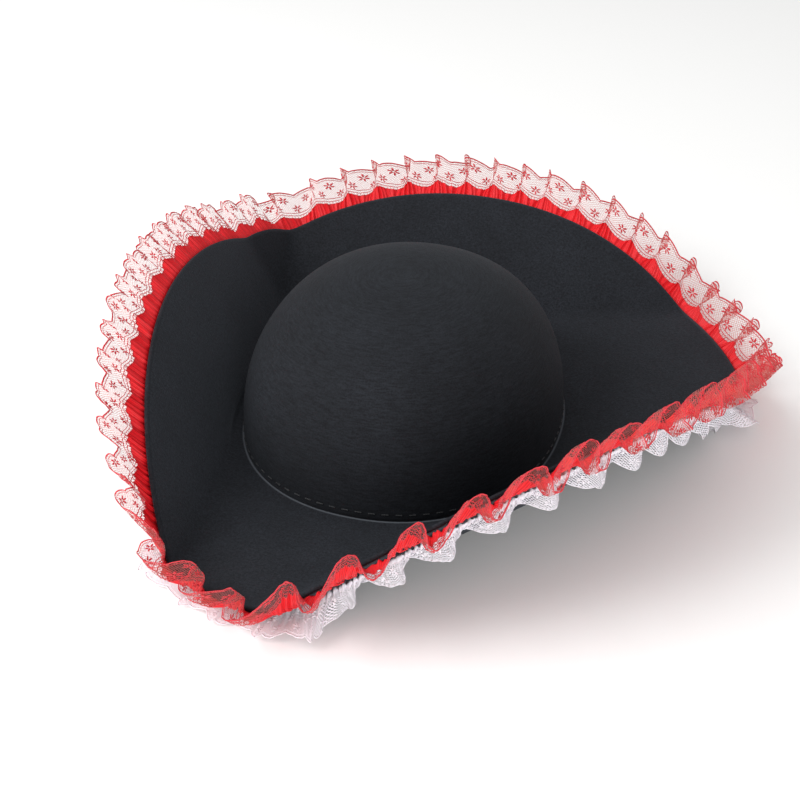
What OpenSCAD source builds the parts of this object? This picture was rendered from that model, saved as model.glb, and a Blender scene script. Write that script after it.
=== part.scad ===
// Felt pirate hat: an oval domed crown on a wide brim that is turned up in three flaps,
// with a gathered red lace round the rim and a gathered white lace below it on the outer face.
// Millimetres. +Z is up and -Y is the wearer's front. The origin is the middle of the head
// opening, on the flat underside of the brim that the hat rests on.

/* [Crown] */
// Outer width of the crown at its base, side to side
crown_w = 189; // [160:1:230]
// Outer length of the crown at its base, front to back
crown_l = 212; // [180:1:260]
// Height of the dome above the brim
crown_h = 95; // [70:1:140]
// Squareness of the oval base (2 is an ellipse)
oval_power = 2.15; // [2:0.05:2.6]
// Squareness of the dome's profile (2 is an ellipse)
dome_power = 2.4; // [2:0.05:3]
// Thickness of the felt
felt_t = 2; // [1:0.1:3]

/* [Brim] */
// Mean width of the brim, measured along the felt
brim_w = 98; // [70:1:130]
// How far the brim is cut off centre
brim_shift = 12; // [0:1:20]
// Direction in which the brim is widest, anticlockwise from +X in degrees
brim_shift_dir = 28; // [0:1:359]
// Rise of the brim per millimetre of width before any flap is turned up
brim_slope = 0.1; // [0.05:0.01:0.3]
// Height of the brim's inner edge where it is turned up inside the crown
flange_h = 9; // [5:1:15]

/* [Flaps] */
// Direction that each flap faces: wearer's right, wearer's left and back, in degrees
flap_dir = [191, 322, 101];
// Distance from the head's centre to each fold, across the felt
flap_fold = [95.5, 101, 113];
// Radius of each fold
flap_radius = [8, 26, 25];
// Angle that each flap is turned up, in degrees
flap_angle = [64, 50, 31];

/* [Sweatband] */
// Height of the band
band_h = 27; // [18:1:36]
// Thickness of the band
band_t = 0.9; // [0.5:0.1:1.5]
// Width of the blank woven label at the back
label_w = 26; // [15:1:40]
// Height of the label
label_h = 12; // [8:1:16]

/* [Red lace] */
// Depth of the solid heading that is sewn behind the rim
red_sewn = 5; // [4:0.5:8]
// Depth of the solid heading that shows beyond the rim
red_heading_w = 9; // [6:1:16]
// Depth of the open lace beyond the heading
red_net_w = 20; // [12:1:35]
// Angle at which the gathered lace stands up past the rim
red_lift = 46; // [20:1:55]

/* [White lace] */
// Distance from the rim to the heading of the white lace
white_inset = 12; // [9:1:18]
// Depth of its heading
white_heading_w = 8; // [5:1:10]
// Depth of the open lace below the heading
white_net_w = 20; // [12:1:30]

/* [Stitching] */
// Thread diameter
thread_d = 0.6; // [0.4:0.1:1]
// Length of one stitch
stitch_l = 3.6; // [2:0.2:5]
// Distance from one stitch to the next
stitch_pitch = 7; // [6:0.5:12]

/* [Hidden] */

// Stations round the hat, and the angle of each one
stations = 96;
angles = [for (i = [0 : stations - 1]) i * 360 / stations];
// Free play between pieces that lie against each other
gap = 0.3;
// Thickness of a gathered heading and of a ruffled lace, as plain solids
heading_t = 1.4;
lace_t = 2.4;
// The brim is flat to this width, then starts to rise, and the flaps fade in over the next stretch
flat_w = 4;
rise_from = 8;
fade_w = 8;
// Softness of the line at which a flap starts to bend
fold_soft = 3.8;
// Rings across the brim and up the crown
brim_rings = 11;
crown_rings = 12;
// Small step for slopes taken by difference
step = 0.5;
// The white lace first steps out below the red heading, then hangs by no more than this sine
white_step_w = 5;
white_step_angle = 35;
white_hang_max = 0.96;
// The lowest that the hanging lace may come, so that the hat rests on its brim
clear_h = 5.5;
// The row of stitches through the crown, the brim's flange and the band
seam_h = felt_t + flange_h / 2;
band_z = 1;
label_t = 0.5;
black = "#1e2024";
red = "#f02832";
white = "#e6e1ea";

// Vector helpers
function unit(v) = v / norm(v);
function clamp(x, low, high) = min(max(x, low), high);
function smooth(x) = let (c = clamp(x, 0, 1)) c * c * (3 - 2 * c);
function soft_plus(x) = x > 8 * fold_soft ? x : fold_soft * ln(1 + exp(x / fold_soft));

// Radius of the crown's oval base at angle t
function base_r(t) =
    pow(pow(abs(cos(t)) / (crown_w / 2), oval_power)
      + pow(abs(sin(t)) / (crown_l / 2), oval_power), -1 / oval_power);

// Share of the base radius that the dome still has at a share of its height
function dome_share(h) = pow(1 - pow(clamp(h, 0, 1), dome_power), 1 / dome_power);

// Radius of the inside of the crown at height z above the brim
function inner_wall_r(t, z) = (base_r(t) - felt_t) * dome_share(z / (crown_h - felt_t));

// Width of the brim at angle t
function edge_w(t) = brim_w + brim_shift * cos(t - brim_shift_dir);

// Turns one flap up: moves a point of the flat felt in along the flap's direction, and up
function flap_move(p, w, i) =
    let (n = [cos(flap_dir[i]), sin(flap_dir[i])],
         s = soft_plus(p * n - flap_fold[i]) * smooth((w - flat_w) / fade_w),
         bend = min(s / flap_radius[i] * 180 / PI, flap_angle[i]),
         rest = max(s - flap_radius[i] * flap_angle[i] * PI / 180, 0),
         run = flap_radius[i] * sin(bend) + rest * cos(flap_angle[i]),
         rise = flap_radius[i] * (1 - cos(bend)) + rest * sin(flap_angle[i]))
    [n[0] * (run - s), n[1] * (run - s), rise];

// Middle of the brim's felt, at angle t and distance w from the crown
function brim_mid(t, w) =
    let (r = base_r(t) + w,
         p = [r * cos(t), r * sin(t)],
         flat = [p[0], p[1], felt_t / 2 + brim_slope * max(w - rise_from, 0)])
    flat + flap_move(p, w, 0) + flap_move(p, w, 1) + flap_move(p, w, 2);

function brim_out(t, w) = unit(brim_mid(t, w) - brim_mid(t, w - step));
function brim_along(t, w) = unit(brim_mid(t + step, w) - brim_mid(t - step, w));
function brim_up(t, w) = w <= flat_w ? [0, 0, 1] : unit(cross(brim_out(t, w), brim_along(t, w)));

// A point off the brim's outer face by a distance
function outer_face(t, w, off) = brim_mid(t, w) - brim_up(t, w) * (felt_t / 2 + off);

// The rim's level outward direction and a direction raised from it by an angle
function rim_out(t) = let (a = brim_along(t, edge_w(t))) unit([a[1], -a[0], 0]);
function raised(t, angle) = rim_out(t) * cos(angle) + [0, 0, sin(angle)];

// A ring or a strip from two rows of section points at each station: its face and its back
module shell(face, back, closed = true) {
    n = len(face);
    m = len(face[0]);
    turns = closed ? n : n - 1;
    function at(i, j, side) = ((i % n) * m + j) * 2 + side;
    function quad(a, b, c, d) = [[a, b, c], [a, c, d]];
    points = [for (i = [0 : n - 1]) for (j = [0 : m - 1]) for (p = [face[i][j], back[i][j]]) p];
    skins = [for (i = [0 : turns - 1]) for (j = [0 : m - 2])
        for (f = concat(
            quad(at(i, j, 0), at(i + 1, j, 0), at(i + 1, j + 1, 0), at(i, j + 1, 0)),
            quad(at(i, j + 1, 1), at(i + 1, j + 1, 1), at(i + 1, j, 1), at(i, j, 1)))) f];
    edges = [for (i = [0 : turns - 1])
        for (f = concat(
            quad(at(i, 0, 0), at(i, 0, 1), at(i + 1, 0, 1), at(i + 1, 0, 0)),
            quad(at(i, m - 1, 0), at(i + 1, m - 1, 0), at(i + 1, m - 1, 1), at(i, m - 1, 1)))) f];
    ends = closed ? [] : [for (j = [0 : m - 2])
        for (f = concat(
            quad(at(0, j, 0), at(0, j + 1, 0), at(0, j + 1, 1), at(0, j, 1)),
            quad(at(n - 1, j, 1), at(n - 1, j + 1, 1), at(n - 1, j + 1, 0), at(n - 1, j, 0)))) f];
    polyhedron(points = points, faces = concat(skins, edges, ends), convexity = 6);
}

// One dome as a closed solid, drawn smaller by an inset
module dome(inset) {
    height = crown_h - inset;
    levels = [for (k = [0 : crown_rings - 1]) height * sin(90 * k / crown_rings)];
    points = concat(
        [for (z = levels) for (t = angles)
            let (r = (base_r(t) - inset) * dome_share(z / height)) [r * cos(t), r * sin(t), z]],
        [[0, 0, height]]);
    top = crown_rings * stations;
    function at(k, i) = k * stations + i % stations;
    walls = [for (k = [0 : crown_rings - 2]) for (i = [0 : stations - 1])
        for (f = [[at(k, i), at(k + 1, i), at(k + 1, i + 1)],
                  [at(k, i), at(k + 1, i + 1), at(k, i + 1)]]) f];
    cap = [for (i = [0 : stations - 1]) [at(crown_rings - 1, i), top, at(crown_rings - 1, i + 1)]];
    floor_face = [[for (i = [0 : stations - 1]) i]];
    polyhedron(points = points, faces = concat(walls, cap, floor_face), convexity = 4);
}

// The domed crown stands on the brim
module crown() {
    color(black)
    translate([0, 0, felt_t])
    difference() {
        dome(0);
        dome(felt_t);
    }
}

// The brim, with its inner edge turned up inside the crown and its three flaps turned up
module brim() {
    flange_face = felt_t + gap;
    flange_back = 2 * felt_t + gap;
    function ring_w(t, k) = flat_w + (edge_w(t) - flat_w) * pow(k / brim_rings, 1.25);
    function level(t, w, z) = let (r = base_r(t) + w) [r * cos(t), r * sin(t), z];
    function face(t, w) = brim_mid(t, w) + brim_up(t, w) * felt_t / 2;
    upper = [for (t = angles) concat(
        [level(t, -flange_face, felt_t + flange_h), level(t, -flange_face, felt_t)],
        [for (k = [0 : brim_rings]) face(t, ring_w(t, k))])];
    lower = [for (t = angles) concat(
        [level(t, -flange_back, felt_t + flange_h), level(t, -flange_back, 0)],
        [for (k = [0 : brim_rings]) outer_face(t, ring_w(t, k), 0)])];
    color(black) shell(lower, upper);
}

// One stitch, midway between two spots of its row and in line with them
module stitch(here, next) {
    d = next - here;
    translate((here + next) / 2)
    rotate([0, acos(d[2] / norm(d)), atan2(d[1], d[0])])
    cylinder(h = stitch_l, d = thread_d, center = true, $fn = 16);
}

// Radius of the sweatband's outer face: clear of the flange and of the crown's wall above it
function band_r(t) =
    min(base_r(t) - 2 * felt_t - 2 * gap, inner_wall_r(t, band_z + band_h - felt_t) - gap);

// Row of stitches on the outside of the crown, through the flange and the band
module crown_stitching() {
    count = floor(PI * (crown_w + crown_l) / 2 / stitch_pitch);
    z = seam_h - felt_t;
    function spot(i) =
        let (t = i * 360 / count, r = base_r(t) * dome_share(z / crown_h) + thread_d / 2)
        [r * cos(t), r * sin(t), seam_h];
    color(black) for (i = [0 : count - 1]) stitch(spot(i), spot(i + 1));
}

// The same seam where it shows on the inside of the band
module sweatband_stitching() {
    count = floor(PI * (crown_w + crown_l) / 2 / stitch_pitch);
    function spot(i) =
        let (t = i * 360 / count, r = band_r(t) - band_t - thread_d / 2)
        [r * cos(t), r * sin(t), seam_h];
    color("#2b2b30") for (i = [0 : count - 1]) stitch(spot(i), spot(i + 1));
}

// Upright strip that follows the inside of the band, between two radii offsets
module upright(stops, z0, z1, near, far, closed) {
    function wall(t, inset) =
        let (r = band_r(t) - inset) [[r * cos(t), r * sin(t), z0], [r * cos(t), r * sin(t), z1]];
    shell([for (t = stops) wall(t, near)], [for (t = stops) wall(t, far)], closed);
}

// Woven sweatband, upright against the flange
module sweatband() {
    color("#26272b") upright(angles, band_z, band_z + band_h, 0, band_t, true);
}

// Blank woven label at the back of the band, above the seam
module size_label() {
    half = label_w / crown_l * 180 / PI;
    stops = [for (k = [-4 : 4]) 90 + half * k / 4];
    near = band_t;
    z0 = seam_h + thread_d + gap;
    color("#cfcfd2") upright(stops, z0, z0 + label_h, near, near + label_t, false);
}

// A point of the red lace past the rim, and the direction of its back
function red_past(t, far, off) =
    outer_face(t, edge_w(t), gap) + raised(t, red_lift) * far
    - raised(t, red_lift + 90) * off;

// Solid gathered heading of the red lace, sewn behind the rim
module red_heading() {
    function sewn(t, off) = outer_face(t, edge_w(t) - red_sewn, gap + off);
    face = [for (t = angles) [sewn(t, 0), red_past(t, 0, 0), red_past(t, red_heading_w, 0)]];
    back = [for (t = angles)
        [sewn(t, heading_t), (red_past(t, 0, heading_t) + outer_face(t, edge_w(t), gap + heading_t)) / 2,
         red_past(t, red_heading_w, heading_t)]];
    color(red) shell(back, face);
}

// Open lace of the red trim, past its heading
module red_lace() {
    near = red_heading_w + gap;
    face = [for (t = angles) [red_past(t, near, 0), red_past(t, near + red_net_w, 0)]];
    back = [for (t = angles) [red_past(t, near, heading_t), red_past(t, near + red_net_w, lace_t)]];
    color(red) shell(back, face);
}

// Stitches that hold the red heading behind the rim
module red_stitching() {
    count = floor(2 * PI * (brim_w + (crown_w + crown_l) / 4) / stitch_pitch);
    off = gap + heading_t + thread_d / 2;
    function spot(i) = let (t = i * 360 / count) outer_face(t, edge_w(t) - red_sewn * 0.7, off);
    color(red) for (i = [0 : count - 1]) stitch(spot(i), spot(i + 1));
}

// Where the white lace leaves the felt, and how steeply it can hang from there
function white_top(t, off) = outer_face(t, edge_w(t) - white_inset, gap + off);
function white_bend(t, off) =
    white_top(t, gap) + raised(t, -white_step_angle) * white_step_w
    + raised(t, -white_step_angle - 90) * off;
function white_angle(t) =
    asin(clamp((white_bend(t, lace_t)[2] - clear_h) / white_net_w, 0, white_hang_max));
function white_end(t, off) =
    white_bend(t, 0) + raised(t, -white_angle(t)) * (white_net_w - white_step_w)
    + raised(t, -white_angle(t) - 90) * off;

// Solid gathered heading of the white lace, sewn on the outer face below the rim
module white_heading() {
    function strip(t, off) =
        [outer_face(t, edge_w(t) - white_inset - white_heading_w, gap + off), white_top(t, off)];
    color(white)
    shell([for (t = angles) strip(t, heading_t)], [for (t = angles) strip(t, 0)]);
}

// Open lace of the white trim, which steps out from its heading and hangs
module white_lace() {
    function from(t, off) = white_top(t, gap + off) + brim_out(t, edge_w(t) - white_inset) * gap;
    face = [for (t = angles) [from(t, 0), white_bend(t, 0), white_end(t, 0)]];
    back = [for (t = angles) [from(t, heading_t), white_bend(t, lace_t), white_end(t, lace_t)]];
    color(white) shell(back, face);
}

// Stitches along the middle of the white heading
module white_stitching() {
    count = floor(2 * PI * (brim_w + (crown_w + crown_l) / 4) / stitch_pitch);
    inset = white_inset + white_heading_w / 2;
    off = gap + heading_t + thread_d / 2;
    function spot(i) = let (t = i * 360 / count) outer_face(t, edge_w(t) - inset, off);
    color(white) for (i = [0 : count - 1]) stitch(spot(i), spot(i + 1));
}

crown();
brim();
crown_stitching();
sweatband();
sweatband_stitching();
size_label();
red_heading();
red_lace();
red_stitching();
white_heading();
white_lace();
white_stitching();
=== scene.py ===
# %% [markdown]
# # A felt pirate hat with red and white lace
# The hat is a blocked felt crown sewn into a wide felt brim. The brim is turned up in three
# flaps, a gathered red lace runs round behind its rim, and a gathered white lace hangs from
# its outer face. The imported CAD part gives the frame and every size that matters, and this
# lesson builds the cloth, lace, thread and finishes round it, one piece at a time.

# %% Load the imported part
import math

import bmesh
import bpy
import numpy as np
from mathutils import Matrix, Vector


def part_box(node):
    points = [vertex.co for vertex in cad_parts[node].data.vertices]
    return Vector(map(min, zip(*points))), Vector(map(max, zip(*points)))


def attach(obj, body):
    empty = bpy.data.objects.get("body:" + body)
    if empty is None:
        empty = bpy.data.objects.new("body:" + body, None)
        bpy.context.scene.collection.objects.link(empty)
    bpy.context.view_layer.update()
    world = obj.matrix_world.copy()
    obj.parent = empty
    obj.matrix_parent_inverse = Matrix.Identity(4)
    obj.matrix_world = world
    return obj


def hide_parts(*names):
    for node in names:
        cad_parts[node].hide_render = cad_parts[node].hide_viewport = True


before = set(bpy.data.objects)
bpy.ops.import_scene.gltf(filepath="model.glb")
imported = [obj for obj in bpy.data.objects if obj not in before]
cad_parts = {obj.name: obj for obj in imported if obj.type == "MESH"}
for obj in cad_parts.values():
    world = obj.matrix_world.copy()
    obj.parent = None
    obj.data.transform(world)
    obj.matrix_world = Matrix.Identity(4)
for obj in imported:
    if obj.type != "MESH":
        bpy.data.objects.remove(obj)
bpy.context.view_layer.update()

MM = 0.001
PER_METRE = 1000.0
print("nodes:", ", ".join(sorted(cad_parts)))

# %% [markdown]
# ## The camera
# The camera comes first, because every later judgement is made through it. It looks down on
# the hat from the wearer's front, a little from the left, about seventy centimetres away.
# An eye point, an aim point and a small roll describe it completely.

# %% Camera
VIEW_AZIMUTH = math.radians(17.7)
VIEW_ELEVATION = math.radians(34.3)
VIEW_ROLL = math.radians(-0.6)
VIEW_DISTANCE = 0.700
SENSOR, LENS = 36.0, 55.75
AIM_RIGHT, AIM_TOWARDS, AIM_UP = -0.0034, 0.0447, 0.040

right = Vector((math.cos(VIEW_AZIMUTH), math.sin(VIEW_AZIMUTH), 0.0))
towards = Vector((math.sin(VIEW_AZIMUTH), -math.cos(VIEW_AZIMUTH), 0.0))


def make_camera(aim):
    """A camera that looks at the aim point from the view's azimuth and elevation."""
    back = towards * math.cos(VIEW_ELEVATION) + Vector((0, 0, math.sin(VIEW_ELEVATION)))
    turn = back.to_track_quat("Z", "Y").to_matrix().to_4x4()
    roll = Matrix.Rotation(VIEW_ROLL, 4, "Z")
    data = bpy.data.cameras.new("camera")
    data.sensor_width = SENSOR
    data.lens = LENS
    camera = bpy.data.objects.new("camera", data)
    bpy.context.scene.collection.objects.link(camera)
    camera.matrix_world = Matrix.Translation(aim + back * VIEW_DISTANCE) @ turn @ roll
    bpy.context.scene.camera = camera
    return camera


camera = make_camera(right * AIM_RIGHT + towards * AIM_TOWARDS + Vector((0, 0, AIM_UP)))
print("camera", [round(v, 3) for v in camera.location])

# %% [markdown]
# ## Sizes of the felt
# The crown and the brim are described by a few numbers: an oval base, a dome profile, and
# three folds, each with a direction, a distance, a radius and an angle. The overall sizes
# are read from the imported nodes, so that the cloth follows the part. All lengths in the
# helpers are millimetres, which keeps them readable, and metres appear only at the end.

# %% Sizes
crown_low, crown_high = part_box("crown")
HALF_W = (crown_high[0] - crown_low[0]) / MM / 2
HALF_L = (crown_high[1] - crown_low[1]) / MM / 2
CROWN_H = (crown_high[2] - crown_low[2]) / MM
FELT = crown_low[2] / MM
# Powers of the oval base and of the dome's profile: 2 would be an ellipse
OVAL_POWER, DOME_POWER = 2.15, 2.4
# The brim's mean width, how much wider it is on one side, and that side's direction
BRIM_W, BRIM_SHIFT, BRIM_SHIFT_DIR = 98.0, 12.0, math.radians(28)
# Its even slope and where that starts, then the flat ring that no fold may move
BRIM_SLOPE, RISE_FROM = 0.1, 8.0
FLAT_W, FADE_W = 4.0, 8.0
# How gently a fold begins
FOLD_SOFT = 3.8
# Each flap: its direction, the distance and the radius of its fold, and how far it turns up
FLAPS = [
    dict(turn=math.radians(191), at=95.5, radius=8.0, up=math.radians(64)),
    dict(turn=math.radians(322), at=101.0, radius=26.0, up=math.radians(50)),
    dict(turn=math.radians(101), at=113.0, radius=25.0, up=math.radians(31)),
]
print(f"crown {2 * HALF_W:.0f} x {2 * HALF_L:.0f} x {CROWN_H:.0f} mm, felt {FELT:.1f} mm")

# %% [markdown]
# ## The shape of the brim as a function
# A felt brim starts as a flat ring. Steam and a hand turn each flap up about a soft fold
# line. Working the same move on points of the flat ring gives every later piece one
# surface to follow: the felt itself, the lace behind its rim and each row of stitches.

# %% Brim surface
def base_radius(t):
    """Radius of the crown's oval base at angle t."""
    across = (np.abs(np.cos(t)) / HALF_W) ** OVAL_POWER
    along = (np.abs(np.sin(t)) / HALF_L) ** OVAL_POWER
    return (across + along) ** (-1 / OVAL_POWER)


def dome_share(h):
    """Share of the base radius that the dome still has at a share of its height."""
    return (1 - np.clip(h, 0, 1) ** DOME_POWER) ** (1 / DOME_POWER)


def edge_width(t):
    """Width of the felt from the crown to the rim."""
    return BRIM_W + BRIM_SHIFT * np.cos(t - BRIM_SHIFT_DIR)


def soft(x, k):
    """Nought below zero, x above it, with a soft knee of size k."""
    return k * np.logaddexp(0.0, x / k)


def smooth(x):
    """Smooth step from 0 to 1."""
    c = np.clip(x, 0, 1)
    return c * c * (3 - 2 * c)


def brim_mid(t, w):
    """Middle of the felt at angle t and distance w from the crown, in millimetres."""
    r = base_radius(t) + w
    flat = np.stack([r * np.cos(t), r * np.sin(t)], -1)
    out = flat.copy()
    z = FELT / 2 + BRIM_SLOPE * np.maximum(w - RISE_FROM, 0)
    for flap in FLAPS:
        n = np.array([math.cos(flap["turn"]), math.sin(flap["turn"])])
        s = soft(flat @ n - flap["at"], FOLD_SOFT) * smooth((w - FLAT_W) / FADE_W)
        bend = np.minimum(s / flap["radius"], flap["up"])
        rest = np.maximum(s - flap["radius"] * flap["up"], 0)
        run = flap["radius"] * np.sin(bend) + rest * math.cos(flap["up"])
        out = out + (run - s)[..., None] * n
        z = z + flap["radius"] * (1 - np.cos(bend)) + rest * math.sin(flap["up"])
    return np.concatenate([out, z[..., None]], -1)


def unit(v):
    """Vectors made one long."""
    return v / np.maximum(np.linalg.norm(v, axis=-1, keepdims=True), 1e-9)


STEP_OUT, STEP_ROUND = 0.5, 0.008


def brim_frame(t, w):
    """The felt's middle, its outward direction and its upper normal, by small steps."""
    mid = brim_mid(t, w)
    outward = unit(mid - brim_mid(t, w - STEP_OUT))
    along = unit(brim_mid(t + STEP_ROUND, w) - brim_mid(t - STEP_ROUND, w))
    return mid, outward, unit(np.cross(outward, along))


# %% [markdown]
# ## Draping a flat piece
# Soft pieces here are all cut flat and then moved into place, as a maker does. A grid made
# by an operator keeps its flat coordinates as its UV map, in metres, and a function then
# moves every vertex to its place. The weave can follow the UV map afterwards.

# %% Flat cutting and draping
TURN = 2 * math.pi
BACK = math.pi / 2  # every ring of cloth begins and ends at the back of the hat
WELD = 1e-6


def new_object(name, bm, finish):
    """Turns a bmesh into a piece that rides on the hat, with its finish."""
    mesh = bpy.data.meshes.new(name)
    for face in bm.faces:
        face.smooth = True
    bm.to_mesh(mesh)
    bm.free()
    piece = bpy.data.objects.new(name, mesh)
    bpy.context.scene.collection.objects.link(piece)
    mesh.materials.append(finish)
    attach(piece, "root")
    print(name, len(mesh.vertices), "vertices", len(mesh.polygons), "faces")
    return piece


def keep_cut(bm, layer):
    """Writes the flat place of every corner into the UV map, in metres."""
    for face in bm.faces:
        for loop in face.loops:
            loop[layer].uv = loop.vert.co.xy * MM


def flat_grid(columns, rows, length, low, high):
    """A grid cut flat: x runs along the strip and y across it, with the same UV map."""
    bm = bmesh.new()
    layer = bm.loops.layers.uv.new("cut")
    bmesh.ops.create_grid(bm, x_segments=columns, y_segments=rows, size=0.5, calc_uvs=False)
    for v in bm.verts:
        v.co = Vector(((v.co.x + 0.5) * length, low + (v.co.y + 0.5) * (high - low), 0.0))
    keep_cut(bm, layer)
    return bm


def drape(bm, place, close=True, flip=False):
    """Moves every vertex from its flat place to its draped place, and joins the ends."""
    flat = np.array([v.co for v in bm.verts])
    done = place(flat[:, 0], flat[:, 1], flat[:, 2]) * MM
    for v, p in zip(bm.verts, done):
        v.co = p
    if close:
        bmesh.ops.remove_doubles(bm, verts=bm.verts, dist=WELD)
    if flip:
        bmesh.ops.reverse_faces(bm, faces=bm.faces)


def thicken(piece, cloth, thickness, offset):
    """Gives a draped sheet its thickness: all inwards at offset -1, half each way at 0."""
    wall = piece.modifiers.new(cloth, "SOLIDIFY")
    wall.thickness = thickness * MM
    wall.offset = offset


# %% [markdown]
# ## Finishes
# One function turns sRGB hex colours to linear, and one adds a node with its settings and
# links. Every material below is described first as the real stuff: what it is, how it is
# made, and what that gives the eye.

# %% Material helpers
def linear(code):
    """A linear colour from an sRGB hex value."""
    parts = [int(code[i:i + 2], 16) / 255 for i in (1, 3, 5)]
    return [c / 12.92 if c <= 0.04045 else ((c + 0.055) / 1.055) ** 2.4 for c in parts] + [1.0]


def add(mat, kind, links=None, values=None, **settings):
    """Adds one node: settings are its attributes, values its input values, links its inputs."""
    node = mat.node_tree.nodes.new(kind)
    for key, value in settings.items():
        setattr(node, key, value)
    for key, value in (values or {}).items():
        node.inputs[key].default_value = value
    for key, socket in (links or {}).items():
        mat.node_tree.links.new(socket, node.inputs[key])
    return node


def start_material(name, values):
    """A new material with one Principled shader set by values."""
    mat = bpy.data.materials.new(name)
    mat.use_nodes = True
    mat.node_tree.nodes.clear()
    shader = add(mat, "ShaderNodeBsdfPrincipled", values=values)
    add(mat, "ShaderNodeOutputMaterial", {"Surface": shader.outputs[0]})
    return mat, shader


def plug(mat, socket, target):
    """Links a node's output to an input."""
    mat.node_tree.links.new(socket, target)


def maths(mat, operation, first, second=None):
    """One sum on a socket, with a second socket or a plain number."""
    plain = isinstance(second, (int, float))
    links = {0: first} if plain or second is None else {0: first, 1: second}
    values = {1: second} if plain else None
    return add(mat, "ShaderNodeMath", links, values, operation=operation).outputs[0]


def cut_map(mat):
    """The flat cut's own coordinates, in metres."""
    return add(mat, "ShaderNodeUVMap", uv_map="cut").outputs[0]


def cut_mm(mat):
    """The flat cut's own coordinates, in millimetres."""
    size = add(mat, "ShaderNodeVectorMath", {0: cut_map(mat)}, {"Scale": PER_METRE}, operation="SCALE")
    return size.outputs[0]


def two_tones(mat, share, low, dark, high, light):
    """A dark colour up to one share, a light one from another, and a ramp between."""
    ramp = add(mat, "ShaderNodeValToRGB", {0: share})
    ramp.color_ramp.elements[0].position = low
    ramp.color_ramp.elements[0].color = linear(dark)
    ramp.color_ramp.elements[1].position = high
    ramp.color_ramp.elements[1].color = linear(light)
    return ramp.outputs[0]


def emboss(mat, shader, height, strength, depth):
    """Relief on the shader's normal, with its depth in millimetres."""
    bump = add(mat, "ShaderNodeBump", {"Height": height}, {"Strength": strength, "Distance": depth * MM})
    plug(mat, bump.outputs[0], shader.inputs["Normal"])


# %% [markdown]
# ### Pressed black felt
# Costume felt is short polyester fibre, needled and pressed into a sheet, then steamed over
# a block. It is a bluish black with a dull nap: each fibre is a fine light streak, broad
# patches catch dust and handling, and the nap glows a little towards grazing light. On the
# crown the fibres are drawn round the block, so its streaks run in rings.

# %% Felt
# One real fibre is a few hundredths of a millimetre thick. The streaks here are tufts of
# them, drawn coarser so that they can be seen
FIBRE_WIDTH, FIBRE_LENGTH = 0.45, 2.6
# A noise's cell is wider than the streak that shows in it, by about these factors
RING_LONG, RING_WIDE, LOOSE_WIDE, FUZZ_WIDE = 2.2, 2.4, 3.2, 2
# Patches of dust and handling, and how dark and how pale they turn the felt
DUST_PATCH, DUST_DARK, DUST_PALE = 42.0, 0.86, 1.22
# A pale line along the crease at the crown's base is a painted highlight for the glint of the pressed
# felt: its distance from the crown, its half width and its strength
CREASE_AT, CREASE_W, CREASE_SHARE = 0.7, 0.9, 0.75


def crease_highlight(mat, colour):
    """A pale line painted where the brim is pinched against the crown, a painted highlight for the glint
    of the pressed felt there. The UV map holds that distance.
    """
    away = add(mat, "ShaderNodeSeparateXYZ", {0: cut_map(mat)}).outputs[1]
    far = maths(mat, "ABSOLUTE", maths(mat, "SUBTRACT", away, CREASE_AT * MM))
    line = add(mat, "ShaderNodeMapRange", {0: far},
               {1: 0.0, 2: CREASE_W * MM, 3: CREASE_SHARE, 4: 0.0})
    mixed = add(mat, "ShaderNodeMix", {0: line.outputs[0], 6: colour}, {7: linear("#63686f")},
                data_type="RGBA")
    return mixed.outputs[2]


def ring_grain(mat, place):
    """Coordinates that draw a noise out into level rings round the dome."""
    height = add(mat, "ShaderNodeSeparateXYZ", {0: cut_map(mat)}).outputs[1]
    flat = add(mat, "ShaderNodeSeparateXYZ", {0: place})
    x = maths(mat, "MULTIPLY", flat.outputs[0], PER_METRE / (FIBRE_LENGTH * RING_LONG))
    y = maths(mat, "MULTIPLY", flat.outputs[1], PER_METRE / (FIBRE_LENGTH * RING_LONG))
    z = maths(mat, "MULTIPLY", height, PER_METRE / (FIBRE_WIDTH * RING_WIDE))
    return add(mat, "ShaderNodeCombineXYZ", {0: x, 1: y, 2: z}).outputs[0]


def felt_material(name, rings, nap, light):
    """Felt with fibres lying every way, or drawn into rings round the crown."""
    mat, shader = start_material(name, {
        "Roughness": 0.88, "Specular IOR Level": 0.22,
        "Sheen Weight": nap, "Sheen Roughness": 0.5, "Sheen Tint": linear("#a3abb8"),
    })
    place = add(mat, "ShaderNodeTexCoord").outputs["Object"]
    grain = ring_grain(mat, place) if rings else place
    grain_scale = 1.0 if rings else PER_METRE / (FIBRE_WIDTH * LOOSE_WIDE)
    fibre = add(mat, "ShaderNodeTexNoise", {"Vector": grain},
                {"Scale": grain_scale, "Detail": 6.0, "Roughness": 0.62, "Distortion": 0.4})
    fuzz = add(mat, "ShaderNodeTexNoise", {"Vector": place},
               {"Scale": PER_METRE / (FIBRE_WIDTH * FUZZ_WIDE), "Detail": 4.0, "Roughness": 0.7})
    patches = add(mat, "ShaderNodeTexNoise", {"Vector": place},
                  {"Scale": PER_METRE / DUST_PATCH, "Detail": 5.0, "Roughness": 0.6})
    nap_height = maths(mat, "MULTIPLY", maths(mat, "ADD", fibre.outputs[0], fuzz.outputs[0]), 0.5)
    tone = two_tones(mat, nap_height, 0.40, "#101115", 0.62, light)
    dust = add(mat, "ShaderNodeMapRange", {0: patches.outputs[0]},
               {1: 0.35, 2: 0.7, 3: DUST_DARK, 4: DUST_PALE})
    colour = add(mat, "ShaderNodeVectorMath", {0: tone, 1: dust.outputs[0]},
                 operation="MULTIPLY").outputs[0]
    # The brim gets the painted highlight along its crease
    if not rings:
        colour = crease_highlight(mat, colour)
    plug(mat, colour, shader.inputs["Base Color"])
    emboss(mat, shader, nap_height, 0.55, 0.6)
    return mat


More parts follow.
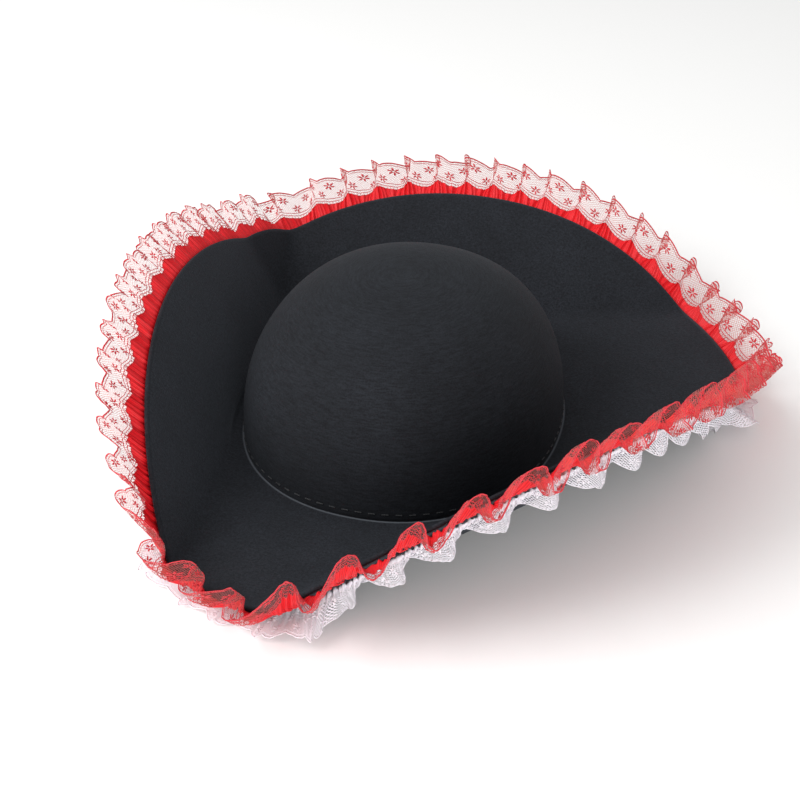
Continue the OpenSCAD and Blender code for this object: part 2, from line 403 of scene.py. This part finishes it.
# The crown and the brim are the same felt. The crown's tone is set darker as painted shade and the
# brim's lighter as painted light, so the crown reads darker than the brim
crown_felt_painted_shade = felt_material("blocked_felt_painted_shade", rings=True, nap=0.06, light="#202328")
brim_felt_painted_light = felt_material("brim_felt_painted_light", rings=False, nap=0.20, light="#24272d")
print("felt", crown_felt_painted_shade.name, brim_felt_painted_light.name)

# %% [markdown]
# ## The crown
# The crown is one piece of felt steamed over a wooden block, so it is a single smooth dome
# on an oval base with no seam. A revolved cup would be round, so the dome starts as a flat
# grid instead: one side becomes the base, the other gathers into the pole, and the two ends
# meet at the back. A Solidify modifier gives the felt its thickness inwards.

# %% Crown
CROWN_COLUMNS, CROWN_ROWS = 240, 64
# The felt's own lengths for its UV map: round the base, and from the base to the pole
BASE_ROUND, MERIDIAN = 620.0, 155.0


def crown_place(u, v, h):
    """From the flat cut (share round, share up) to the dome."""
    t = u * TURN + BACK
    lift = np.sin(v * math.pi / 2)
    r = base_radius(t) * dome_share(lift)
    return np.stack([r * np.cos(t), r * np.sin(t), FELT + CROWN_H * lift], -1)


bm = flat_grid(CROWN_COLUMNS, CROWN_ROWS, 1.0, 0.0, 1.0)
layer = bm.loops.layers.uv.active
for v in bm.verts:
    for loop in v.link_loops:
        loop[layer].uv = (v.co.x * BASE_ROUND * MM, v.co.y * MERIDIAN * MM)
drape(bm, crown_place)
crown = new_object("blocked_crown", bm, crown_felt_painted_shade)
thicken(crown, "felt", FELT, -1.0)
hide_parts("crown")

# %% [markdown]
# ## The brim
# The brim is cut from flat felt and turned up in three flaps. Its grid runs round the hat
# and out from the crown, closer together near the folds, and its inner edge turns up inside
# the crown as a flange, which is what the seam holds.

# %% Brim
BRIM_COLUMNS, BRIM_ROWS = 480, 56
FLANGE_TOP, FLANGE_IN = 11.0, FELT * 1.5 + 0.3
# The share of the rows that the flange takes, and how the others crowd towards the crown
FLANGE_SHARE, CROWDING = 0.1, 1.15


def brim_distance(u, v):
    """Distance from the crown's base at a share round and a share out."""
    out = np.clip((v - FLANGE_SHARE) / (1 - FLANGE_SHARE), 0, 1) ** CROWDING
    return -FLANGE_IN + (edge_width(u * TURN + BACK) + FLANGE_IN) * out


def brim_place(u, v, h):
    """From the flat cut to the shaped brim. v runs from the flange's top out to the rim."""
    t = u * TURN + BACK
    lie = brim_mid(t, brim_distance(u, v))
    lift = np.clip((FLANGE_SHARE - v) / FLANGE_SHARE, 0, 1)
    lie[:, 2] += (FLANGE_TOP - FELT / 2) * lift
    return lie


bm = flat_grid(BRIM_COLUMNS, BRIM_ROWS, 1.0, 0.0, 1.0)
layer = bm.loops.layers.uv.active
for v in bm.verts:
    distance = float(brim_distance(v.co.x, v.co.y)) * MM
    for loop in v.link_loops:
        loop[layer].uv = (v.co.x, distance)
drape(bm, brim_place, flip=True)
brim = new_object("shaped_brim", bm, brim_felt_painted_light)
thicken(brim, "felt", FELT, 0.0)
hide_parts("brim")

# %% [markdown]
# ## The rim as a path
# The lace follows the rim, so the rim is measured once: a few thousand stations, the
# distance along it, and at each one the direction of the felt, the level direction away
# from the hat, and the felt's normal. Everything that is sewn on looks these up.

# %% Rim path
STATIONS = 2880
station_t = np.linspace(0, TURN, STATIONS + 1) + BACK


def face_below(t, w, off):
    """A point off the felt's outer face."""
    mid, _, up = brim_frame(t, w)
    return mid - up * (FELT / 2 + off)


rim = face_below(station_t, edge_width(station_t), 0.0)
RIM_S = np.concatenate([[0], np.cumsum(np.linalg.norm(np.diff(rim, axis=0), axis=1))])
RIM_LEN = RIM_S[-1]
_, rim_felt, _ = brim_frame(station_t, edge_width(station_t))
rim_along = unit(np.roll(rim[:-1], -1, 0) - np.roll(rim[:-1], 1, 0))
rim_along = np.concatenate([rim_along, rim_along[:1]])
rim_level = unit(np.stack([rim_along[:, 1], -rim_along[:, 0], 0 * rim_along[:, 0]], -1))
print(f"rim {RIM_LEN:.0f} mm long")


def at_rim(table, s):
    """Looks a table of vectors up at distances along the rim, going round past its end."""
    s = np.mod(s, RIM_LEN)
    return np.stack([np.interp(s, RIM_S, table[:, i]) for i in range(table.shape[1])], -1)


def wander(s, seed, waves):
    """A gentle irregular function round the rim, a sum of waves, between about -1 and 1."""
    rng = np.random.default_rng(seed)
    out = 0
    for k in waves:
        out = out + np.sin(TURN * k * s / RIM_LEN + rng.uniform(0, TURN)) * rng.uniform(0.5, 1)
    return out / len(waves) ** 0.75


# %% [markdown]
# ## How gathered lace lies
# Lace is sold flat. A gathering thread draws its solid heading into fine puckers, about four
# millimetres apart, and because the free edge keeps its full length it has to fold: each
# wave leans over the next one like a row of shingles. One function holds all of that. It
# takes a place on the flat strip and returns where that place lies on the hat, so the net,
# its cords and its flowers are all cut flat and stay together when they are gathered.

# %% Gathering
# The red lace: how much of it is sewn behind the rim, its heading past that, and its net
RED_SEWN, RED_HEADING, RED_NET = 5.0, 9.0, 20.0
# The white lace: how far inside the rim its sewn heading ends, that heading, and its net
WHITE_INSET, WHITE_HEADING, WHITE_NET = 12.0, 8.0, 20.0
# The red lace's angle above level, and the two corners of the rim where it stands steeper
RED_LIFT = 46.0
CORNERS, CORNER_LIFT, CORNER_ARC = (6.0, 249.0), 24.0, 15.0
# The near flap: its direction, half its arc, and how it fades into the others, in degrees
NEAR_DIR, NEAR_HALF, NEAR_FADE = 308.0, 50.0, 22.0
# The white lace steps out from the felt by a short length, at a slope below level that is
# steeper where it leans in, then hangs, and stops this high above the floor
WHITE_STEP, WHITE_STEP_DOWN, STEEP_STEP = 5.0, math.radians(35), math.radians(78)
WHITE_LOW = 5.5
# The most of its depth that it may fall, the share from which it leans in under the felt,
# and how far it leans: clear of the felt by one angle, and never past the other
MOST_ROOM, STEEP_FROM = 0.96, 0.6
FELT_CLEAR, MOST_LEAN = 14.0, 116.0
# Folds are smaller where the rim is lower than this, so that none reaches the floor
LOW_RIM, LOW_FADE, LOW_CALM = 45.0, 30.0, 0.9
# Distance of each lace from the felt's face, and millimetres of rim to one fold
RED_OFF, WHITE_OFF = 1.6, 1.5
RED_FOLD, WHITE_FOLD = 23.5, 25.0
# Millimetres of lace to one scallop, and to one millimetre of rim
SCALLOP = 12.4
RED_FULLNESS, WHITE_FULLNESS = 1.7, 1.45
PUCKERS = round(RIM_LEN / 4.4)
EXTRA_PUCKERS = round(PUCKERS * 1.43)
WIDE_PUCKER, FINE_PUCKER, PUCKER_WANDER = 0.7, 0.5, 3.5
# Puckers grow from a share at the sewn edge, over one depth, and past the heading they
# fade by another share, over a longer one
PUCKER_IN, PUCKER_START = 3.0, 0.7
PUCKER_PAST, PUCKER_OUT, PUCKER_FADE = 6.0, 14.0, 0.75
# How unevenly folds crowd and grow round the rim, and how the loose ones differ
CROWD_WANDER, CROWD_LOOSE = 0.30, 0.20
SIZE_WANDER, SIZE_LOOSE = 0.26, 0.55
TUCK_LOOSE = 0.30
# The depth over which folds open and slide
FOLD_SPAN, SPAN_LOOSE, SLIDE_SPAN = 26.0, 9.0, 9.0
# A fold slides later than it leans, and a small second wave sharpens its crest
SLIDE_LAG, CREST_SHARE, CREST_LAG = 1.9, 0.22, 0.7
# How round each bend across the strip is, and the short steps that measure its directions
KNEE_SOFT = 1.2
BASE_STEP, CLOTH_STEP = 0.7, 0.3
print(f"{PUCKERS} puckers round the rim")


class Gather:
    """One gathered strip: where it is sewn, which way it leaves, and how it folds.

    inset is how far inside the rim the strip starts, sewn how much of it lies on the felt,
    bends the directions it takes past that, and off its distance from the felt. folds is
    their number, lean and height how far each goes along and off the strip, and slant how
    far it slides across. amount is 0 for usual folds, 1 for the near flap's loose ones.
    """

    def __init__(self, inset, sewn, fullness, bends, off, folds, lean, height, slant, seed, amount):
        self.scallops = round(RIM_LEN * fullness / SCALLOP)
        self.length = self.scallops * SCALLOP
        self.sewn, self.seed = sewn, seed
        self.lean, self.height, self.slant = lean, height, slant
        self.start = face_below(station_t, edge_width(station_t) - inset, off)
        corner = face_below(station_t, edge_width(station_t) - inset + sewn, off)
        self.felt = unit(corner - self.start)
        self.bends = bends
        crowd = CROWD_WANDER * wander(RIM_S, seed + 1, (3, 7, 13, 19, 29))
        density = 1 + crowd - CROWD_LOOSE * amount
        count = np.concatenate([[0], np.cumsum(density[:-1] * np.diff(RIM_S))])
        self.phase = count / count[-1] * round(folds) * TURN
        uneven = SIZE_WANDER * wander(RIM_S, seed + 2, (5, 11, 17, 31))
        self.amount = 1 + SIZE_LOOSE * amount + uneven
        self.tuck = 1 - TUCK_LOOSE * amount
        self.span = FOLD_SPAN - SPAN_LOOSE * amount

    def base(self, s, v):
        """The strip without its folds: a path across the strip that turns at each bend."""
        place = at_rim(self.start, s) + at_rim(self.felt, s) * v[:, None]
        before = self.felt
        for at, way in self.bends:
            turn = at_rim(way - before, s)
            place = place + turn * soft(v - at, KNEE_SOFT)[:, None]
            before = way
        return place

    def normal(self, s, v):
        """The upper normal of the strip without its folds."""
        along = self.base(s + BASE_STEP, v) - self.base(s - BASE_STEP, v)
        across = self.base(s, v + BASE_STEP) - self.base(s, v - BASE_STEP)
        return unit(np.cross(across, along))

    def puckers(self, s, v):
        """The heading's fine puckers, which ease out towards the free edge."""
        round_rim = TURN * s / RIM_LEN
        shift = PUCKER_WANDER * wander(s, self.seed + 3, (41, 67, 97))
        wide = WIDE_PUCKER * np.sin(PUCKERS * round_rim + shift)
        fine = FINE_PUCKER * np.sin(EXTRA_PUCKERS * round_rim - shift)
        eased = smooth((v - self.sewn - PUCKER_PAST) / PUCKER_OUT)
        return (wide + fine) * smooth(v / PUCKER_IN + PUCKER_START) * (1 - PUCKER_FADE * eased)

    def lie(self, u, v):
        """Where a point of the flat strip lies once the strip is gathered."""
        s = u * RIM_LEN / self.length
        here = np.mod(s, RIM_LEN)
        phase = np.interp(here, RIM_S, self.phase)
        amount = np.interp(here, RIM_S, self.amount)
        tuck = np.interp(here, RIM_S, self.tuck)
        beyond = v - self.sewn
        free = smooth(beyond / np.interp(here, RIM_S, self.span))
        wave = np.sin(phase)
        moved = s - self.lean * amount * tuck * wave * free
        slid = v + self.slant * np.sin(phase + SLIDE_LAG) * smooth(beyond / SLIDE_SPAN)
        rise = self.puckers(s, v) - self.height * amount * wave * free
        rise = rise + CREST_SHARE * self.height * np.sin(2 * phase + CREST_LAG) * free
        return self.base(moved, slid) + self.normal(moved, slid) * rise[:, None]

    def place(self, u, v, h):
        """Where a point of the flat strip lies, h above its cloth."""
        done = self.lie(u, v)
        if np.any(h != 0):
            along = self.lie(u + CLOTH_STEP, v) - self.lie(u - CLOTH_STEP, v)
            across = self.lie(u, v + CLOTH_STEP) - self.lie(u, v - CLOTH_STEP)
            done = done + unit(np.cross(across, along)) * h[:, None]
        return done


def raised(angle):
    """The level outward direction at each station, raised by an angle."""
    return rim_level * np.cos(angle)[:, None] + np.array([0, 0, 1.0]) * np.sin(angle)[:, None]


def degrees_from(direction):
    """Each station's angle from a direction, between -180 and 180 degrees."""
    return np.degrees(np.angle(np.exp(1j * (station_t - math.radians(direction)))))


# %% [markdown]
# ### The red lace and the white lace
# The red lace stands up past the rim at one angle, and steeper at two corners. The near flap
# has bigger, looser waves than the other two. The white lace hangs, but it has to end above
# the floor: where the rim is low it is spread outwards, and where the rim is high it can
# fall past upright and lean in under the felt.

# %% Two laces
near_flap = 1 - smooth((np.abs(degrees_from(NEAR_DIR)) - NEAR_HALF) / NEAR_FADE)
corner_lift = sum(CORNER_LIFT * np.exp(-(degrees_from(corner) / CORNER_ARC) ** 2) for corner in CORNERS)
red_way = raised(np.radians(RED_LIFT + corner_lift))
red = Gather(inset=RED_SEWN, sewn=RED_SEWN, fullness=RED_FULLNESS, bends=[(RED_SEWN, red_way)],
             off=RED_OFF, folds=RIM_LEN / RED_FOLD, lean=5.6, height=4.6, slant=2.2, seed=11,
             amount=near_flap)

white_top = face_below(station_t, edge_width(station_t) - WHITE_INSET, WHITE_OFF)
usual_step = raised(np.full(STATIONS + 1, -WHITE_STEP_DOWN))
bend_height = (white_top + usual_step * WHITE_STEP)[:, 2]
room = np.clip((bend_height - WHITE_LOW) / WHITE_NET, 0, MOST_ROOM)
steep = smooth((room - STEEP_FROM) / (MOST_ROOM - STEEP_FROM))
felt_rise = np.degrees(np.arcsin(rim_felt[:, 2]))
lean_in = np.radians(np.minimum(180 - FELT_CLEAR - felt_rise, MOST_LEAN))
white_way = raised(-(np.arcsin(room) * (1 - steep) + lean_in * steep))
white_step = raised(-WHITE_STEP_DOWN * (1 - steep) - STEEP_STEP * steep)
low_rim = smooth((LOW_RIM - rim[:, 2]) / LOW_FADE)
white = Gather(inset=WHITE_INSET + WHITE_HEADING, sewn=WHITE_HEADING, fullness=WHITE_FULLNESS,
               bends=[(WHITE_HEADING, white_step), (WHITE_HEADING + WHITE_STEP, white_way)],
               off=WHITE_OFF, folds=RIM_LEN / WHITE_FOLD, lean=4.4, height=3.6, slant=2.2,
               seed=23, amount=near_flap - low_rim * (near_flap + LOW_CALM))
print(f"red lace {red.length:.0f} mm, white lace {white.length:.0f} mm, cut flat")

# %% [markdown]
# ### Lace yarn and tulle
# The lace is knitted from bright polyester yarn. Its heading is so dense that it is opaque,
# with a soft satin shine along the puckers. The ground is a tulle so fine that it reads as
# a tint: its threads are drawn here as a diamond net, see-through between them. Real tulle
# has cells under a millimetre across, and these are drawn coarser so that they can be seen.

# %% Lace finishes
ONE_BAND = 0.314  # a wave texture of this scale repeats once for each unit


def yarn_material(name, dark, light, pitch, sheen):
    """Dense knitted yarn: fine lines across the strip, painted paler where the cloth stands up, as a
    painted highlight on the raised threads.
    """
    mat, shader = start_material(name, {
        "Roughness": 0.5, "Specular IOR Level": 0.35, "Sheen Weight": sheen,
        "Sheen Roughness": 0.4, "Sheen Tint": linear(light),
    })
    cut = cut_mm(mat)
    noise = add(mat, "ShaderNodeTexNoise", {"Vector": cut},
                {"Scale": 0.35, "Detail": 5.0, "Roughness": 0.6})
    threads = add(mat, "ShaderNodeTexWave", {"Vector": cut},
                  {"Scale": ONE_BAND / pitch, "Distortion": 1.5, "Detail": 2.0, "Detail Scale": 1.0},
                  wave_type="BANDS", bands_direction="X")
    both = maths(mat, "MULTIPLY", maths(mat, "ADD", noise.outputs[0], threads.outputs[0]), 0.5)
    plug(mat, two_tones(mat, both, 0.2, dark, 0.75, light), shader.inputs["Base Color"])
    emboss(mat, shader, both, 0.5, 0.3)
    return mat


def net_material(name, colour, cell, half_thread):
    """Tulle: two sets of slanting threads, see-through between them."""
    mat, shader = start_material(name, {
        "Base Color": linear(colour), "Roughness": 0.6, "Specular IOR Level": 0.3,
        "Sheen Weight": 0.2,
    })
    parts = add(mat, "ShaderNodeSeparateXYZ", {0: cut_map(mat)})
    lines = []
    for way in ("ADD", "SUBTRACT"):
        run = maths(mat, way, parts.outputs[0], parts.outputs[1])
        share = maths(mat, "FRACT", maths(mat, "MULTIPLY", run, PER_METRE / cell))
        far = maths(mat, "ABSOLUTE", maths(mat, "SUBTRACT", share, 0.5))
        lines.append(maths(mat, "LESS_THAN", far, half_thread))
    plug(mat, maths(mat, "MAXIMUM", lines[0], lines[1]), shader.inputs["Alpha"])
    return mat


red_yarn = yarn_material("red_heading_yarn", "#c0101a", "#fb202a", 0.9, 0.2)
red_cord_yarn = yarn_material("red_cord_yarn", "#b9202b", "#e5404a", 0.5, 0.2)
red_net_yarn = net_material("red_tulle", "#c8605a", 1.35, 0.08)
white_yarn = yarn_material("white_heading_yarn", "#dfd9e6", "#fdfbff", 0.9, 0.3)
white_cord_yarn = yarn_material("white_cord_yarn", "#e8e3ee", "#fffdff", 0.5, 0.3)
white_net_yarn = net_material("white_tulle", "#f4f0f8", 1.6, 0.15)

# %% [markdown]
# ## Cutting the lace
# Each strip is cut in three layers that share one gathering function: the solid heading,
# the tulle ground with its scalloped edge, and the raised work on it, which is cords along
# both borders, a ladder of bars by the heading and two staggered rows of flowers.

# %% Lace parts
# How far the edge dips between scallops and how square they are, and how far the solid
# heading runs under the net
EDGE_DIP, EDGE_POWER, OVERLAP = 2.6, 0.7, 0.6
# Millimetres to one column of a grid, and its rows
HEADING_STEP, HEADING_ROWS = 0.8, 8
NET_STEP, NET_ROWS = 0.9, 14
# Each cord's width, height, and length of one step along it
EDGE_CORD, INNER_CORD, RAIL_CORD = (0.95, 0.55, 1.0), (0.4, 0.35, 1.3), (0.5, 0.4, 1.5)
CORD_IN = 1.7
RAILS = (0.4, 2.4, 4.4)
# Bars between the rails and petals: how many, and the length, width and height of one
RUNGS, RUNG, RUNG_AT = 5, (2.0, 0.4, 0.3), 1.4
PETALS, PETAL, PETAL_REACH = 6, (2.7, 1.15, 0.45), 0.62
# Two flowers to a scallop: the share of it along, and the distance from its tip
FLOWERS = ((0.5, 6.2), (1.0, 12.4))
JOIN = 1e-5


def scallop_edge(u, tip):
    """The free edge: one round bump for each scallop."""
    bump = abs(math.sin(math.pi * u / SCALLOP)) ** EDGE_POWER
    return tip - EDGE_DIP * (1 - bump)


def cut_heading(name, gather, depth, finish):
    """The solid heading, from its sewn edge to a little under the net."""
    bm = flat_grid(round(gather.length / HEADING_STEP), HEADING_ROWS, gather.length, 0.0, depth)
    drape(bm, gather.place, flip=True)
    return new_object(name, bm, finish)


def cut_net(name, gather, low, tip, finish):
    """The tulle ground, cut along its scallops."""
    bm = flat_grid(round(gather.length / NET_STEP), NET_ROWS, gather.length, 0.0, 1.0)
    for v in bm.verts:
        v.co.y = low + (scallop_edge(v.co.x, tip) - low) * v.co.y
    keep_cut(bm, bm.loops.layers.uv.active)
    drape(bm, gather.place, flip=True)
    return new_object(name, bm, finish)


def lay_cord(bm, length, path, width, height, step):
    """A closed cord along the strip: a grid rolled round its own path."""
    made = bmesh.ops.create_grid(bm, x_segments=round(length / step), y_segments=4, size=0.5)["verts"]
    for v in made:
        u = (v.co.x + 0.5) * length
        roll = (v.co.y + 0.5) * TURN
        v.co = Vector((u, path(u) + math.cos(roll) * width / 2, math.sin(roll) * height / 2))
    bmesh.ops.remove_doubles(bm, verts=made, dist=JOIN)


def add_bar(bm, x, y, turn, length, width, height):
    """One closed bar or petal, laid flat: a spindle with few faces."""
    made = bmesh.ops.create_uvsphere(bm, u_segments=5, v_segments=3, radius=0.5)["verts"]
    lay = Matrix.Translation((x, y, 0)) @ Matrix.Rotation(turn, 4, "Z")
    lay = lay @ Matrix.Diagonal((length, width, height, 1)) @ Matrix.Rotation(math.pi / 2, 4, "Y")
    bmesh.ops.transform(bm, matrix=lay, verts=made)


def one_repeat(low, tip):
    """The bars and flowers of one scallop, as a mesh to be laid again and again."""
    bm = bmesh.new()
    for i in range(RUNGS):
        add_bar(bm, (i + 0.5) * SCALLOP / RUNGS, low + RUNG_AT, math.pi / 2, *RUNG)
    reach = PETAL[0] * PETAL_REACH
    for along, back in FLOWERS:
        x, y = along * SCALLOP, tip - back
        for k in range(PETALS):
            a = TURN * (k + 0.25) / PETALS
            add_bar(bm, x + math.cos(a) * reach, y + math.sin(a) * reach, a, *PETAL)
    mesh = bpy.data.meshes.new("repeat")
    bm.to_mesh(mesh)
    bm.free()
    return mesh


def cut_work(name, gather, low, tip, finish):
    """The raised work of one lace: flowers, rungs, two cords at the edge, three rails."""
    bm = bmesh.new()
    repeat = one_repeat(low, tip)
    for i in range(gather.scallops):
        bm.from_mesh(repeat)
        repeat.transform(Matrix.Translation((SCALLOP, 0, 0)))
    bpy.data.meshes.remove(repeat)
    lay_cord(bm, gather.length, lambda u: scallop_edge(u, tip), *EDGE_CORD)
    lay_cord(bm, gather.length, lambda u: scallop_edge(u, tip) - CORD_IN, *INNER_CORD)
    for rail in RAILS:
        lay_cord(bm, gather.length, lambda u: low + rail, *RAIL_CORD)
    keep_cut(bm, bm.loops.layers.uv.new("cut"))
    drape(bm, gather.place, close=False)
    bmesh.ops.recalc_face_normals(bm, faces=bm.faces)
    return new_object(name, bm, finish)


def make_lace(colour, gather, depth, tip, yarn, cord_yarn, net_yarn):
    """The three pieces of one lace, in place of the part's two plain ones."""
    heading = cut_heading(colour + "_gathered_heading", gather, depth + OVERLAP, yarn)
    net = cut_net(colour + "_tulle", gather, depth, tip, net_yarn)
    work = cut_work(colour + "_lace_work", gather, depth, tip, cord_yarn)
    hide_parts(colour + "_heading")
    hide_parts(colour + "_lace")


red_depth = RED_SEWN + RED_HEADING
make_lace("red", red, red_depth, red_depth + RED_NET, red_yarn, red_cord_yarn, red_net_yarn)
WHITE_PAST = 3  # how far the white heading stays solid past its sewn part
white_depth = WHITE_HEADING + WHITE_PAST
make_lace("white", white, white_depth, WHITE_HEADING + WHITE_NET, white_yarn, white_cord_yarn,
          white_net_yarn)

# %% [markdown]
# ## Sweatband, label and thread
# Inside the crown a ribbed ribbon, grosgrain, takes the wearer's brow. Its weft is thick and
# its warp is thin, so it shows fine upright ribs about a millimetre apart. It is cut as one
# strip and sewn through the crown and the brim's flange. A small satin label, left blank,
# is sewn over it at the back. The stitches are the part's own, with a twisted-thread finish.

# %% Sweatband
band_low, band_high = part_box("sweatband")
BAND_Z, BAND_TOP = band_low[2] / MM, band_high[2] / MM
BAND_T = 0.9
GAP = 0.3
RIB = 1.1


def band_radius(t):
    """Radius of the band's outer face: clear of the flange below and of the dome above."""
    by_flange = base_radius(t) - 2 * FELT - 2 * GAP
    by_dome = (base_radius(t) - FELT) * dome_share(BAND_TOP / (CROWN_H - FELT)) - GAP
    return np.minimum(by_flange, by_dome)


turn_t = np.linspace(0, TURN, 721) + math.pi / 2
ring = np.stack([band_radius(turn_t) * np.cos(turn_t), band_radius(turn_t) * np.sin(turn_t)], -1)
ring_s = np.concatenate([[0], np.cumsum(np.linalg.norm(np.diff(ring, axis=0), axis=1))])
BAND_LEN = ring_s[-1]
print(f"sweatband {BAND_LEN:.0f} mm round, {BAND_TOP - BAND_Z:.0f} mm high")


def band_place(inward):
    """Lays a strip on the band's ring, some way inside its outer face."""
    def place(x, y, h):
        """Where a point of the strip lies round the ring."""
        t = np.interp(np.mod(x, BAND_LEN), ring_s, turn_t)
        r = band_radius(t) - inward
        return np.stack([r * np.cos(t), r * np.sin(t), y], -1)
    return place


def ribbon_material(name, dark, light, rib, along, values):
    """Ribbed or satin ribbon: even bands of weft, each with a soft round top."""
    mat, shader = start_material(name, values)
    cut = cut_mm(mat)
    ribs = add(mat, "ShaderNodeTexWave", {"Vector": cut},
               {"Scale": ONE_BAND / rib, "Distortion": 0.15}, wave_type="BANDS",
               bands_direction=along)
    lint = add(mat, "ShaderNodeTexNoise", {"Vector": cut}, {"Scale": 1.6, "Detail": 4.0})
    both = maths(mat, "MULTIPLY", maths(mat, "ADD", ribs.outputs["Fac"], lint.outputs[0]), 0.5)
    plug(mat, two_tones(mat, both, 0.2, dark, 0.8, light), shader.inputs["Base Color"])
    emboss(mat, shader, both, 0.7, 0.4)
    return mat


grosgrain = ribbon_material("black_grosgrain", "#0d0d0f", "#2a2a2e", RIB, "X",
                            {"Roughness": 0.55, "Specular IOR Level": 0.35, "Sheen Weight": 0.15})
bm = flat_grid(360, 8, BAND_LEN, BAND_Z, BAND_TOP)
drape(bm, band_place(0.0))
sweatband = new_object("ribbed_sweatband", bm, grosgrain)
thicken(sweatband, "ribbon", BAND_T, -1.0)
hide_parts("sweatband")

# %% [markdown]
# ### A blank label
# A size label is a short length of woven satin. Its weft floats over fine threads, so it
# shines more than the band it is sewn to. It carries no text here.

# %% Label
label_low, label_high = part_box("size_label")
LABEL_W, LABEL_T = 26.0, 0.5
LABEL_OFF = 0.05
LABEL_LOW, LABEL_TOP = label_low[2] / MM, label_high[2] / MM
satin = ribbon_material("label_satin", "#b9b9bf", "#e2e2e6", 0.5, "Y",
                        {"Roughness": 0.4, "Specular IOR Level": 0.5, "Sheen Weight": 0.1})
bm = flat_grid(24, 12, LABEL_W, LABEL_LOW, LABEL_TOP)
bmesh.ops.translate(bm, verts=bm.verts, vec=(-LABEL_W / 2, 0, 0))
drape(bm, band_place(BAND_T + LABEL_OFF), close=False)
label = new_object("blank_label", bm, satin)
thicken(label, "satin", LABEL_T, -1.0)
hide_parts("size_label")

# %% [markdown]
# ### Thread
# Sewing thread is two or three strands of polyester twisted together, so each stitch shows
# short slanting lines and a small shine. The stitches are the part's own solids, and only
# their finish is set here.

# %% Thread
STRAND = 0.8


def thread_material(name, dark, light):
    """Twisted polyester thread: small slanting strands, a little glossy."""
    mat, shader = start_material(name, {"Roughness": 0.5, "Specular IOR Level": 0.4,
                                        "Sheen Weight": 0.2})
    place = add(mat, "ShaderNodeTexCoord").outputs["Object"]
    strand = add(mat, "ShaderNodeTexWave", {"Vector": place},
                 {"Scale": ONE_BAND * PER_METRE / STRAND, "Distortion": 1.0}, wave_type="BANDS",
                 bands_direction="DIAGONAL").outputs["Fac"]
    plug(mat, two_tones(mat, strand, 0.0, dark, 1.0, light), shader.inputs["Base Color"])
    emboss(mat, shader, strand, 0.5, 0.2)
    return mat


THREADS = {
    "crown_stitching": thread_material("black_thread", "#0c0d0f", "#1f2226"),
    "sweatband_stitching": thread_material("band_thread", "#17181b", "#3b3f46"),
    "red_stitching": thread_material("red_thread", "#b3121c", "#f0323c"),
    "white_stitching": thread_material("white_thread", "#cfc9d6", "#fbf8ff"),
}
for node, finish in THREADS.items():
    bpy.data.objects[node].material_slots[0].material = finish
print("thread on", ", ".join(THREADS))

# %% [markdown]
# ## Floor and light
# A plain pale floor and large soft lamps, as in a small studio. The main lamp stands to the
# camera's left and in front, and a low one opposite it lights the near flap's waves.

# %% Studio
FLOOR_SIZE, FLOOR_GAP = 15.0, 0.0004
# Each lamp: its place, the side of its square, and its power
LAMPS = {
    "key_lamp": ((-1.3, -0.8, 1.3), 1.1, 29),
    "low_lamp": ((0.8, -1.5, 0.45), 0.9, 12),
    "top_lamp": ((-0.6, -0.4, 2.2), 1.6, 6),
}
ROOM_LIGHT = 0.62

bm = bmesh.new()
bmesh.ops.create_grid(bm, x_segments=1, y_segments=1, size=FLOOR_SIZE)
bmesh.ops.translate(bm, verts=bm.verts, vec=(0, 0, -FLOOR_GAP))
floor_mesh = bpy.data.meshes.new("floor")
bm.to_mesh(floor_mesh)
bm.free()
floor = bpy.data.objects.new("floor", floor_mesh)
bpy.context.scene.collection.objects.link(floor)
pale, _ = start_material("pale_floor", {"Base Color": linear("#fbfbfa"), "Roughness": 0.9})
floor_mesh.materials.append(pale)


def soft_lamp(name, place, size, power):
    """A large square lamp that faces the hat."""
    data = bpy.data.lights.new(name, "AREA")
    data.size = size
    data.energy = power
    lamp = bpy.data.objects.new(name, data)
    facing = Vector(place).to_track_quat("Z", "Y").to_matrix().to_4x4()
    lamp.matrix_world = Matrix.Translation(place) @ facing
    bpy.context.scene.collection.objects.link(lamp)


for name, (place, size, power) in LAMPS.items():
    soft_lamp(name, place, size, power)
world = bpy.data.worlds.new("studio")
bpy.context.scene.world = world
world.use_nodes = True
backdrop = world.node_tree.nodes["Background"]
backdrop.inputs[0].default_value = linear("#ffffff")
backdrop.inputs[1].default_value = ROOM_LIGHT
bpy.context.scene.view_settings.view_transform = "Standard"
print(len(LAMPS), "lamps and a pale floor")
